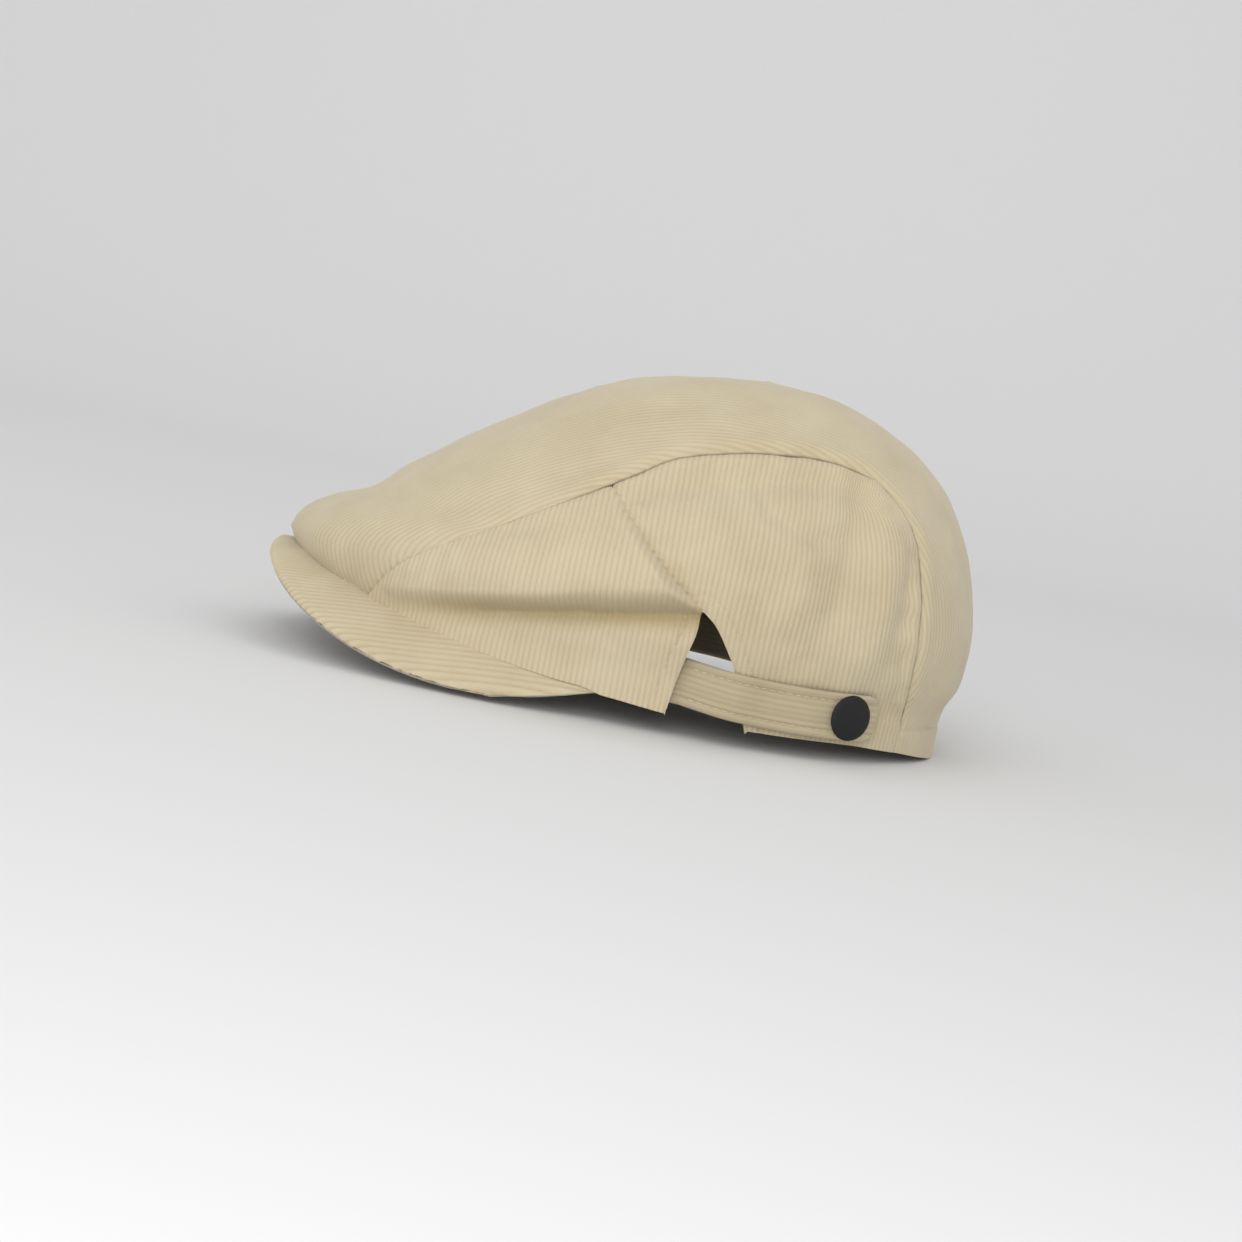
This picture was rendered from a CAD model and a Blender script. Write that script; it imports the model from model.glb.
import math

import bmesh
import bpy
import mathutils
import numpy as np
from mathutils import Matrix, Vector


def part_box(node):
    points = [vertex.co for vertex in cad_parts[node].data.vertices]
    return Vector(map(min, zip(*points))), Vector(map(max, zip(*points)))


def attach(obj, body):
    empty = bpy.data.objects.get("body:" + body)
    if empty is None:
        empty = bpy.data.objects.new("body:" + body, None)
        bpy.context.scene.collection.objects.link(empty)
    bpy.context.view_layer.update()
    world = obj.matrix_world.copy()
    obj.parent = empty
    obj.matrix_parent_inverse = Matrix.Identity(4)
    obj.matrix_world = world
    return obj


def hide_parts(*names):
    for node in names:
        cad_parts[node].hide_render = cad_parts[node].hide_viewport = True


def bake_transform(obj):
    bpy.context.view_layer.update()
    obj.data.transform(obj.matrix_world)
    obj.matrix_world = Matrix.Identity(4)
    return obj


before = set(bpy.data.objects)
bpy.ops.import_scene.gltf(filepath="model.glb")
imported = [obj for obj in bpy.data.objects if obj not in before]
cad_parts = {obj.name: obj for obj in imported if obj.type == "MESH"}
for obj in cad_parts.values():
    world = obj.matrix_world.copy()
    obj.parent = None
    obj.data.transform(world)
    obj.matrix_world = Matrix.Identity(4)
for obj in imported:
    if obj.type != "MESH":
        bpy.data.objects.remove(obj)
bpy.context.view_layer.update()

# Lengths are millimetres until a mesh is made.
MM = 0.001

# == Sizes taken from the frame ==


def box_mm(node):
    low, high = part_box(node)
    return np.array(low) / MM, np.array(high) / MM


crown_low, crown_high = box_mm("crown_top_panel")
side_high = box_mm("rear_side_panel_left")[1]
brim_low, brim_high = box_mm("brim_top_cover")
strap_high = box_mm("strap_left")[1]
snap_low, snap_high = box_mm("snap_cap_left")

crown_height = crown_high[2]
nose_reach = -crown_low[1]
rear_reach = crown_high[1]
crown_half_width = side_high[0]
brim_reach = -brim_low[1]
brim_half_width = brim_high[0]

# == Cloth sizes ==

wale_pitch = 2.05
wale_height = 0.36
samples_per_wale = 6
shell_thickness = 1.5
hem_stitch_inset = 5.5
strap_thickness = 2.4
strap_width = 17.0
both_sides = (("left", False), ("right", True))


# == Curves and small number helpers ==


def unit(vectors):
    return vectors / np.maximum(np.linalg.norm(vectors, axis=-1, keepdims=True), 1e-12)


def arc_along(path):
    """Length along a path up to each of its points."""
    return np.concatenate([[0], np.cumsum(np.linalg.norm(np.diff(path, axis=0), axis=1))])


def between(low, high, share):
    """Rows of values that run from low to high, one row of shares for each column."""
    return low[:, None] + share[None] * (high - low)[:, None]


def nearest(points, path):
    """For each point, the index of the nearest path point and the distance to it."""
    tree = mathutils.kdtree.KDTree(len(path))
    for index, point in enumerate(path):
        tree.insert(point, index)
    tree.balance()
    found = [tree.find(point) for point in points.reshape(-1, 3).tolist()]
    index, gap = np.array([hit[1] for hit in found]), np.array([hit[2] for hit in found])
    return index.reshape(points.shape[:-1]), gap.reshape(points.shape[:-1])


def smooth_curve(stations, values):
    """Smooth function through the given stations that never overshoots."""
    x = np.array(stations, float)
    y = np.array(values, float)
    step = np.diff(x)
    slope = np.diff(y) / step
    tangent = np.zeros_like(y)
    tangent[1:-1] = np.where(slope[:-1] * slope[1:] > 0,
                             2 * slope[:-1] * slope[1:] / (slope[:-1] + slope[1:] + 1e-12), 0.0)
    tangent[0], tangent[-1] = slope[0], slope[-1]

    def value(at):
        at = np.clip(np.asarray(at, float), x[0], x[-1])
        i = np.clip(np.searchsorted(x, at, side="right") - 1, 0, len(step) - 1)
        t = (at - x[i]) / step[i]
        return ((1 + 2 * t) * (1 - t) ** 2 * y[i] + t * (1 - t) ** 2 * step[i] * tangent[i]
                + t * t * (3 - 2 * t) * y[i + 1] + t * t * (t - 1) * step[i] * tangent[i + 1])
    return value


def rounded_path(points, count=400):
    """Dense points on a smooth curve through a few chosen ones."""
    points = np.array(points, float)
    lengths = arc_along(points)
    padded = np.vstack([2 * points[0] - points[1], points, 2 * points[-1] - points[-2]])
    at = np.linspace(0, lengths[-1], count)
    i = np.clip(np.searchsorted(lengths, at, side="right") - 1, 0, len(points) - 2)
    t = ((at - lengths[i]) / (lengths[i + 1] - lengths[i]))[:, None]
    before, here, there, after = (padded[i + k] for k in range(4))
    return 0.5 * (2 * here + (there - before) * t
                  + (2 * before - 5 * here + 4 * there - after) * t ** 2
                  + (3 * here - before - 3 * there + after) * t ** 3)


def fade(distance, width):
    """0 at no distance, 1 from width on."""
    t = np.clip(distance / width, 0, 1)
    return t * t * (3 - 2 * t)


def bump(distance, width):
    """1 at no distance, dying away smoothly."""
    return np.exp(-(distance / width) ** 2)


def distance_to(path, y, z):
    """Distance from side-view points to a path, the side they are on (+ above) and the share along it."""
    best = np.full(y.shape, 1e9)
    side = np.zeros(y.shape)
    share = np.zeros(y.shape)
    for k in range(len(path) - 1):
        a, b = path[k], path[k + 1]
        run = b - a
        t = np.clip(((y - a[0]) * run[0] + (z - a[1]) * run[1]) / (run @ run), 0, 1)
        gap_y, gap_z = y - a[0] - t * run[0], z - a[1] - t * run[1]
        gap = np.hypot(gap_y, gap_z)
        closer = gap < best
        best = np.where(closer, gap, best)
        side = np.where(closer, np.sign(run[0] * gap_z - run[1] * gap_y), side)
        share = np.where(closer, (k + t) / (len(path) - 1), share)
    return best, side, share


def waves(seed, count, shortest, longest):
    """Soft random unevenness over space, about -1 to 1."""
    random = np.random.default_rng(seed)
    directions = unit(random.normal(size=(count, 3)))
    lengths = random.uniform(shortest, longest, count)
    phases = random.uniform(0, 2 * math.pi, count)

    def value(points):
        total = np.zeros(points.shape[:-1])
        for direction, length, phase in zip(directions, lengths, phases):
            total += np.sin(points @ direction * (2 * math.pi / length) + phase)
        return total / math.sqrt(count)
    return value


# == The crown's outer form: level egg-shaped outlines from the rim to the top ==

# height, front, rear and width as shares of the crown's sizes
rim_length_share = 0.936
rim_width_share = 0.9305
crown_rows = np.array([
    (-0.10, 0.975, rim_length_share, rim_width_share),
    (0.10, 0.975, rim_length_share, rim_width_share),
    (0.14, 0.976, 0.942, 0.931),
    (0.17, 0.978, 0.957, 0.934),
    (0.21, 0.980, 0.980, 0.950),
    (0.26, 0.988, 0.992, 0.975),
    (0.32, 1.000, 0.998, 0.992),
    (0.37, 0.978, 0.994, 1.000),
    (0.43, 0.908, 0.982, 0.996),
    (0.47, 0.824, 0.968, 0.986),
    (0.55, 0.752, 0.940, 0.950),
    (0.625, 0.668, 0.905, 0.888),
    (0.70, 0.588, 0.862, 0.800),
    (0.78, 0.478, 0.800, 0.690),
    (0.86, 0.368, 0.700, 0.552),
    (0.92, 0.262, 0.575, 0.410),
    (0.965, 0.150, 0.440, 0.270),
    (0.990, 0.034, 0.315, 0.145),
    (1.000, -0.110, 0.135, 0.008),
])
front_at, rear_at, width_at = (
    smooth_curve(crown_rows[:, 0] * crown_height, crown_rows[:, column] * size)
    for column, size in ((1, nose_reach), (2, rear_reach), (3, crown_half_width)))
crown_middle_shift = 14.0
middle_start = 0.45
fan_height = 0.16 * crown_height
fan_reach = 260.0


def length_share(y, z):
    """How far y lies from the middle of the level outline at z; 1 at its front or rear end."""
    middle = crown_middle_shift * np.clip((z / crown_height - middle_start) / (1 - middle_start), 0, 1)
    return (y - middle) / np.where(y > middle, rear_at(z) - middle, front_at(z) + middle)


def crown_field(x, y, z):
    """Below 0 inside the crown, above 0 outside."""
    return (x / width_at(z)) ** 2 + length_share(y, z) ** 2 - 1


def crown_side_x(y, z):
    """Half-width of the crown at a side-view point."""
    return width_at(z) * np.sqrt(np.clip(1 - length_share(y, z) ** 2, 0, 1))


def crown_normal(points):
    """Outward direction of the crown's form near each point."""
    x, y, z = points[..., 0], points[..., 1], np.clip(points[..., 2], -5, crown_height - 1.2)
    reach = 0.8
    return unit(np.stack([crown_field(x + reach, y, z) - crown_field(x - reach, y, z),
                          crown_field(x, y + reach, z) - crown_field(x, y - reach, z),
                          crown_field(x, y, z + reach) - crown_field(x, y, z - reach)], -1))


def crown_fan(x, turn):
    """Crown point at sideways place x on a ray from the fan's line; turn 0 is forward, pi to the rear."""
    near = np.zeros(np.broadcast(x, turn).shape)
    far = near + fan_reach
    along_y, along_z = -np.cos(turn), np.sin(turn)
    for _ in range(40):
        reach = (near + far) / 2
        y, z = reach * along_y, fan_height + reach * along_z
        inside = (z < crown_height - 0.02) & (crown_field(x, y, z) < 0)
        near = np.where(inside, reach, near)
        far = np.where(inside, far, reach)
    return np.stack([x + 0 * near, near * along_y, fan_height + near * along_z], -1)


def side_points(shares):
    """Side-view outline: y as a share of nose or rear reach, z as a share of the crown height."""
    return np.array([(s[0] * (nose_reach if s[0] < 0 else rear_reach), s[1] * crown_height)
                     for s in shares])


top_seam = rounded_path(side_points([
    (-0.775, 0.14), (-0.752, 0.205), (-0.71, 0.285), (-0.65, 0.352), (-0.54, 0.432), (-0.43, 0.510),
    (-0.345, 0.575), (-0.28, 0.625), (-0.19, 0.692), (-0.10, 0.757), (0.04, 0.800), (0.18, 0.818),
    (0.35, 0.825), (0.51, 0.795), (0.62, 0.728), (0.70, 0.635), (0.745, 0.50), (0.765, 0.36),
    (0.768, 0.20), (0.762, 0.04), (0.760, -0.06)]), 900)
side_seam = rounded_path(side_points([(-0.240, 0.655), (-0.148, 0.534), (-0.065, 0.444),
                                      (0.028, 0.366)]), 200)
opening_front = rounded_path(side_points([(0.028, 0.366), (0.026, 0.30), (0.010, 0.24),
                                          (-0.008, 0.15), (-0.020, 0.045)]), 120)
opening_rear = rounded_path(side_points([(0.028, 0.366), (0.075, 0.335), (0.124, 0.278),
                                         (0.174, 0.204), (0.215, 0.11), (0.250, 0.030)]), 200)
rim = side_points([(-0.40, 0.085), (-0.17, 0.076), (-0.02, 0.062), (0.25, 0.052), (0.55, 0.050),
                   (0.75, 0.036), (0.88, 0.012), (0.93, 0.0), (1.1, 0.0)])
rim_at = smooth_curve(rim[:, 0], rim[:, 1])

# == The brim's form ==

brim_arch_radius = 126.0
brim_rise = 0.077
brim_front_height = 30.8
brim_thickness = 3.8
brim_widest_y = -45.0
brim_end_y = -25.0
brim_fullness = 2.55


def brim_under_z(x, y):
    """Underside of the brim's arch."""
    sag = brim_arch_radius - np.sqrt(brim_arch_radius ** 2 - np.clip(x, -120, 120) ** 2)
    return brim_front_height + brim_rise * (y + brim_reach) - sag


def brim_top_z(x, y):
    return brim_under_z(x, y) + brim_thickness


# == Meshes ==


def make_piece(name, points, faces, body, material, wale=None, mirror=False, replaces=()):
    """Mesh object from millimetre points; wale gives the cloth coordinates of each point."""
    points = np.asarray(points, float).reshape(-1, 3).copy()
    if mirror:
        points[:, 0] *= -1
        faces = [face[::-1] for face in faces]
    mesh = bpy.data.meshes.new(name)
    mesh.from_pydata((points * MM).tolist(), [], faces)
    if wale is not None:
        layer = mesh.uv_layers.new(name="cloth")
        loops = np.zeros(len(mesh.loops), np.int32)
        mesh.loops.foreach_get("vertex_index", loops)
        layer.data.foreach_set("uv", np.asarray(wale, np.float32).reshape(-1, 2)[loops].ravel())
    mesh.update()
    mesh.validate()
    mesh.polygons.foreach_set("use_smooth", np.ones(len(mesh.polygons), bool))
    piece = bpy.data.objects.new(name, mesh)
    bpy.context.scene.collection.objects.link(piece)
    piece.data.materials.append(material)
    if body:
        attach(piece, body)
    if replaces:
        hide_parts(*replaces)
    return piece


def tidy_mesh(piece, gap=0.004):
    """Joins points that fell together at a seam."""
    work = bmesh.new()
    work.from_mesh(piece.data)
    bmesh.ops.remove_doubles(work, verts=work.verts, dist=gap * MM)
    bmesh.ops.dissolve_degenerate(work, edges=work.edges, dist=gap * MM)
    work.to_mesh(piece.data)
    work.free()
    piece.data.polygons.foreach_set("use_smooth", np.ones(len(piece.data.polygons), bool))


def shell_mesh(outer, inner, skip):
    """Closed skin over an outer grid (columns, rows, 3) and an inner one with every skip-th column."""
    columns, rows = outer.shape[:2]
    kept = list(range(0, columns, skip))
    if kept[-1] != columns - 1:
        kept.append(columns - 1)
    base, top, last = columns * rows, rows - 1, len(kept) - 1

    def out(i, j):
        return i * rows + j

    def inn(k, j):
        return base + k * rows + j

    faces = []
    for i in range(columns - 1):
        faces += [(out(i, j), out(i + 1, j), out(i + 1, j + 1), out(i, j + 1)) for j in range(top)]
    for k in range(last):
        faces += [(inn(k, j), inn(k, j + 1), inn(k + 1, j + 1), inn(k + 1, j)) for j in range(top)]
        span = range(kept[k], kept[k + 1] + 1)
        faces.append(tuple([inn(k, 0), inn(k + 1, 0)] + [out(i, 0) for i in reversed(span)]))
        faces.append(tuple([out(i, top) for i in span] + [inn(k + 1, top), inn(k, top)]))
    for j in range(top):
        faces.append((out(0, j), out(0, j + 1), inn(0, j + 1), inn(0, j)))
        faces.append((out(columns - 1, j + 1), out(columns - 1, j), inn(last, j), inn(last, j + 1)))
    return np.vstack([outer.reshape(-1, 3), inner[kept].reshape(-1, 3)]), faces, kept


def skin_piece(name, outer, inner, skip, cloth, material, mirror, replaces, flip=False):
    """Closed cloth skin on the crown, from an outer and an inner grid."""
    points, faces, kept = shell_mesh(outer, inner, skip)
    if flip:
        faces = [face[::-1] for face in faces]
    cloth = np.concatenate([cloth.reshape(-1, 2), cloth[kept].reshape(-1, 2)])
    tidy_mesh(make_piece(name, points, faces, "crown", material, cloth, mirror, replaces))


def edge_rows(count, length, close=(0.0, 0.25, 0.6, 1.1, 1.8)):
    """Row stations from 0 to 1, packed near both ends."""
    close = np.array(close) / length
    inner = np.linspace(close[-1], 1 - close[-1], max(3, count - 2 * len(close)))
    return np.concatenate([close[:-1], inner, 1 - close[:-1][::-1]])


def wale_wave(phase):
    """Rounded ribs with narrow valleys, 0 to 1."""
    return np.abs(np.cos(math.pi * phase)) ** 0.75


# == Grids of the crown panels, in line with their wales ==


def path_on_crown(path):
    """Side-view path laid on the left side of the crown."""
    return np.stack([crown_side_x(path[:, 0], path[:, 1]), path[:, 0], path[:, 1]], -1)


def distance_near(points, path):
    return nearest(points, path)[1]


def solve(function, low, high, steps=34):
    """Where a rising function crosses 0, for arrays of limits."""
    low, high = np.array(low, float), np.array(high, float)
    for _ in range(steps):
        middle = (low + high) / 2
        below = function(middle) < 0
        low = np.where(below, middle, low)
        high = np.where(below, high, middle)
    return (low + high) / 2


def brim_line_z(y):
    """Height where the side of the crown meets the brim's top at y."""
    return solve(lambda z: z - brim_top_z(crown_side_x(y, z), y), 0 * y - 5, 0 * y + 60)


# arc length along the side wall, for vertical wales
wall_y = np.linspace(-150, 105, 1200)
wall_x = crown_side_x(wall_y, np.full_like(wall_y, 0.35 * crown_height))
wall_arc = arc_along(np.stack([wall_y, wall_x], -1))

# the top seam in two overlapping parts: over the side panels, and down behind them
over_seam = top_seam[:int(np.argmax(top_seam[:, 1])) + 260]
down_start = int(np.argmin(np.abs(top_seam[:, 0] - 0.60 * rear_reach)
                           + (np.arange(len(top_seam)) < 500) * 1e3))
down_seam = top_seam[down_start:][::-1]
rear_label = 0.765 * rear_reach
rear_label_start = 38.0


def seam_top_z(y):
    return np.interp(y, over_seam[:, 0], over_seam[:, 1])


def leaning_y(label, z):
    """Side-view place of a wale column at height z; the rear columns lean along the seam."""
    lead = fade(label - rear_label_start, rear_label - rear_label_start)
    return label + lead * (np.interp(z, down_seam[:, 1], down_seam[:, 0]) - rear_label)


def leaning_top(label, low_limit):
    """Height where each leaning column meets the top seam."""
    return solve(lambda z: z - seam_top_z(leaning_y(label, z)), 0 * label + low_limit,
                 0 * label + crown_height)


def side_panel_columns(first_y, last_y):
    """Columns at equal steps along the wall, and the wales counted up to each."""
    first, last = np.interp([first_y, last_y], wall_y, wall_arc)
    arcs = np.arange(math.ceil(first / wale_pitch * samples_per_wale),
                     last / wale_pitch * samples_per_wale) * wale_pitch / samples_per_wale
    arcs = np.concatenate([[first], arcs, [last]])
    return np.interp(arcs, wall_arc, wall_y), arcs / wale_pitch


def front_panel_grid(rows=64):
    label, phase = side_panel_columns(side_points([(-0.772, 0)])[0, 0], opening_front[:, 0].max() - 0.02)
    rim = rim_at(label)
    low = rim + fade((brim_end_y - label) / 10, 1) * (np.maximum(brim_line_z(label), rim) - rim)
    edge = opening_front[::-1]
    low = np.where(label > edge[0, 0], np.interp(label, edge[:, 0], edge[:, 1]), low)
    high = np.minimum(seam_top_z(label), np.interp(label, side_seam[:, 0], side_seam[:, 1]))
    z = between(low, np.maximum(high, low + 0.05), edge_rows(rows, 50))
    return np.repeat(label[:, None], z.shape[1], 1), z, phase


def rear_panel_grid(rows=74):
    label, phase = side_panel_columns(side_seam[0, 0] + 0.4, rear_label)
    high = leaning_top(label, 40)
    low = np.where(label < side_seam[-1, 0], np.interp(label, side_seam[:, 0], side_seam[:, 1]),
                   np.interp(label, opening_rear[:, 0], opening_rear[:, 1]))
    low = np.where(label > opening_rear[-1, 0], rim_at(label), low)
    z = between(np.minimum(low, high - 0.05), high, edge_rows(rows, 95))
    return leaning_y(label[:, None], z), z, phase


def top_panel_grid(rows=120):
    """Wales run front to back; columns are cut off where they reach the side seams."""
    seam = path_on_crown(top_seam)
    turn = np.arctan2(seam[:, 2] - fan_height, -seam[:, 1])
    turn = np.where(turn < -1, turn + 2 * math.pi, turn)
    front_half = np.arange(len(seam)) < len(seam) // 2
    kept = seam[:, 2] > np.where(front_half, brim_top_z(seam[:, 0], seam[:, 1]), rim_at(seam[:, 1]))
    order = np.argsort(turn[kept])
    seam_turn, seam_x = turn[kept][order], seam[kept][order, 0]
    across = np.linspace(0, seam_x.max(), 500)
    arcs = arc_along(crown_fan(across, np.full_like(across, math.pi / 2 + 0.12))[:, ::2])
    count = int(arcs[-1] / wale_pitch * samples_per_wale)
    half = np.append(np.arange(count + 1) * wale_pitch / samples_per_wale, arcs[-1])
    label_arc = np.concatenate([-half[:0:-1], half])
    label = np.sign(label_arc) * np.interp(np.abs(label_arc), arcs, across)

    def over_brim(turn):
        spot = crown_fan(label, turn)
        return spot[:, 2] - brim_top_z(label, spot[:, 1])

    def under_rim(turn):
        spot = crown_fan(label, turn)
        return rim_at(spot[:, 1]) - spot[:, 2]

    start = solve(over_brim, 0 * label - 0.4, 0 * label + 0.5, 26)
    start = np.where(np.abs(label) > seam_x[0], seam_turn[0], start)
    end = solve(under_rim, 0 * label + math.pi - 0.05, 0 * label + math.pi + 0.45, 26)
    end = np.where(np.abs(label) > seam_x[-1], seam_turn[-1], end)
    low_turn, high_turn = 0.30, math.pi - 0.12
    main = seam_turn[0] + edge_rows(rows, 360) * (seam_turn[-1] - seam_turn[0])
    main = np.unique(np.concatenate([main, np.linspace(high_turn, seam_turn[-1], 34)]))
    turns = np.repeat(main[None], len(label), 0)
    nose, tail = main < low_turn, main > high_turn
    turns[:, nose] = between(start, low_turn + 0 * start, (main[nose] - main[0]) / (low_turn - main[0]))
    turns[:, tail] = between(high_turn + 0 * end, end, (main[tail] - high_turn) / (main[-1] - high_turn))
    limit = np.interp(turns, seam_turn, seam_x)
    x = np.clip(label[:, None], -limit, limit)
    phase = np.sign(x) * np.interp(np.abs(x), across, arcs) / wale_pitch
    return crown_fan(x, turns), phase, turns


# == How the cloth departs from the plain form ==

tuck_depth = 6.4
tuck_bulge = 6.2
hem_height = 12.0
hem_line_depth = 0.45
seam_notch = 0.35
seam_notch_step = 2.4
wale_drift = 0.22
fold_gain = 2.1
soft_left, soft_right = waves(3, 9, 26, 70), waves(11, 9, 26, 70)
fine_left, fine_right = waves(5, 12, 9, 22), waves(13, 12, 9, 22)
drift_waves = waves(17, 7, 30, 90)

# the fold across a front side panel
tuck_path = np.array([(-116, 21), (-102, 23), (-86, 26), (-70, 29), (-50, 33.5), (-30, 38), (-12, 41.5),
                      (3, 44.5)], float)
rear_folds = [
    # side-view path, height and width
    ([(50, 104), (52, 80), (50, 56), (44, 36)], -0.9, 5.0),
    ([(60, 100), (66, 74), (66, 48), (60, 28)], 1.3, 7.0),
    ([(74, 84), (76, 60), (74, 38)], -0.8, 4.5),
    ([(20, 70), (26, 48), (36, 34)], -0.7, 6.0),
    ([(-24, 84), (0, 92), (26, 97), (48, 98)], -1.6, 6.0),
    ([(-10, 74), (10, 74), (34, 66)], 0.9, 12.0),
    ([(14, 96), (20, 84), (38, 78), (56, 82)], -0.8, 3.5),
    ([(30, 40), (36, 60), (34, 78)], 0.7, 6.0),
    ([(92, 70), (93, 50), (92, 30)], -0.7, 4.0),
]


def wales(phase, points):
    """Wales counted across the cloth, drifting a little from their straight course."""
    return phase + wale_drift * drift_waves(points)


def seam_sharpness(y, least):
    """The seams beside the top panel are soft over the brim and sharp on top."""
    return least + (1 - least) * fade(y + 62, 24.0) * (1 - 0.6 * fade(y - 50, 20.0))


def side_relief(points, y, z, soft, fine, front):
    """Soft folds of a side panel, in millimetres along the normal."""
    relief = 0.55 * soft(points) + 0.16 * fine(points)
    if front:
        gap, side, share = distance_to(tuck_path, y, z)
        above = gap * side
        strength = 0.25 + 0.75 * fade(share, 0.6)
        over = -tuck_depth + (tuck_depth + tuck_bulge) * fade(above + 1.5, 12.0)
        over -= 0.85 * tuck_bulge * fade(above - 12.0, 24.0)
        under = -tuck_depth * np.exp(np.minimum(above, 0) / 7.0)
        relief += strength * np.where(above > 0, over, under)
    else:
        for path, height, width in rear_folds:
            gap, _, share = distance_to(np.array(path, float), y, z)
            relief += (fold_gain * height * bump(gap, width)
                       * np.sin(math.pi * np.clip(share, 0.06, 0.94)) ** 0.5)
    return relief


def side_panel(name, grid, front, mirror, material, replaces):
    y, z, phase = grid
    base = np.stack([crown_side_x(y, z), y, z], -1)
    normal = crown_normal(base)
    top_gap = distance_near(base, path_on_crown(top_seam))
    side_gap = distance_near(base, path_on_crown(side_seam))
    sewn = np.minimum(top_gap, side_gap)
    hem = distance_near(base, path_on_crown(opening_front if front else opening_rear))
    soft, fine = (soft_right, fine_right) if mirror else (soft_left, fine_left)
    relief = side_relief(base, y, z, soft, fine, front)
    relief = relief * (0.15 + 0.85 * fade(top_gap, 12.0)) * fade(side_gap + 0.8, 5.0)
    # hollows and swells beside the seams
    relief -= 1.5 * seam_sharpness(y, 0.25) * bump(top_gap, 1.8) + 0.6 * bump(side_gap, 1.5)
    relief += (0.35 + 0.35 * fine(base * 1.7)) * bump(sewn - 4.5, 3.0)
    relief += 0.75 * fine(base * 1.3) * bump(top_gap - 7.0, 6.0) * fade(y - 5, 20.0)
    relief -= seam_notch * (wale_wave(z / seam_notch_step) < 0.55) * bump(side_gap, 0.7)
    rise = z - rim_at(y)
    relief *= 0.2 + 0.8 * fade(rise - 6.0, 18.0)
    if not front:
        # the turned hem, and a flatter place under the strap
        relief += (0.3 + 0.15 * fine(base * 1.5)) * fade(hem_height + 0.6 - rise, 1.2)
        relief -= hem_line_depth * bump(rise - hem_height, 0.9)
        relief -= fade(strap_high[1] + 3 - y, 6.0) * fade(y - 12, 8.0) * fade(28.0 - z, 6.0)
    relief -= 0.35 * bump(hem - hem_stitch_inset, 0.8)
    relief += 0.25 * (hem < hem_stitch_inset) * fade(hem, 2.0)
    counted = wales(phase[:, None], base)
    rib = (wale_wave(counted) * (0.62 + 0.2 * soft(base * 2.1)) * wale_height
           * fade(np.minimum(sewn, hem), 1.0))
    outer = base + normal * (relief + rib)[..., None]
    skin_piece(name, outer, base + normal * (relief - shell_thickness)[..., None], samples_per_wale // 2,
               np.stack([counted, z], -1), material, mirror, replaces)
    return outer.reshape(-1, 3), normal.reshape(-1, 3)


def top_panel(material):
    points, phase, turns = top_panel_grid()
    x, y, z = points[..., 0], points[..., 1], points[..., 2]
    normal = crown_normal(points)
    seam = path_on_crown(top_seam)
    sewn = distance_near(points, np.vstack([seam, seam * (-1, 1, 1)]))
    relief = (0.45 * soft_left(points) + 0.12 * fine_left(points)) * fade(sewn, 12.0)
    sharp = seam_sharpness(y, 0.15)
    relief -= sharp * bump(sewn, 1.6)
    relief += (0.25 + 0.9 * sharp) * bump(sewn - 4.0, 4.0)
    relief -= np.where(y < -60, 1.6 * bump(z - brim_top_z(x, y), 2.6), 0)
    rear = y > 60
    relief *= np.where(rear, 0.2 + 0.8 * fade(z - 6.0, 18.0), 1)
    relief += np.where(rear, 0.3 * fade(hem_height + 0.6 - z, 1.2)
                       - hem_line_depth * bump(z - hem_height, 0.9), 0)
    counted = wales(phase, points)
    rib = wale_wave(counted) * wale_height * (0.26 + 0.1 * soft_left(points * 2.1)) * fade(sewn, 1.0)
    outer = points + normal * (relief + rib)[..., None]
    skin_piece("top_panel", outer, points + normal * (relief - shell_thickness)[..., None], samples_per_wale,
               np.stack([counted, turns * 80], -1), material, False, ("crown_top_panel",))
    return outer.reshape(-1, 3), normal.reshape(-1, 3)


# == Bands, brim, lining and straps ==

head_half_length = rim_length_share * rear_reach
head_half_width = rim_width_share * crown_half_width


def sweep(stations, section_count, place):
    """Closed section swept along stations; place(i) gives the section's points at station i."""
    points = np.concatenate([place(i) for i in range(stations)])
    faces = []
    for i in range(stations - 1):
        a, b = i * section_count, (i + 1) * section_count
        for j in range(section_count):
            k = (j + 1) % section_count
            faces.append((a + j, b + j, b + k, a + k))
    faces.append(tuple(range(section_count)))
    last = (stations - 1) * section_count
    faces.append(tuple(range(last + section_count - 1, last - 1, -1)))
    return points, faces


band_spacing = 1.1


class Oval:
    """Level oval inside the crown; arc length runs from the left side to the rear, or to the front."""

    def __init__(self, inset, side_ease, forward):
        turn = np.linspace(0, math.pi, 900)
        self.x = (head_half_width - inset - side_ease) * np.cos(turn)
        self.y = (head_half_length - inset) * np.sin(turn) * (-1 if forward else 1)
        self.arc = arc_along(np.stack([self.x, self.y], -1))
        self.length = self.arc[-1]

    def at(self, arc):
        return np.interp(arc, self.arc, self.x), np.interp(arc, self.arc, self.y)

    def arc_at_y(self, y):
        half = len(self.arc) // 2
        order = 1 if self.y[half] > 0 else -1
        return np.interp(order * y, order * self.y[:half], self.arc[:half])


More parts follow.
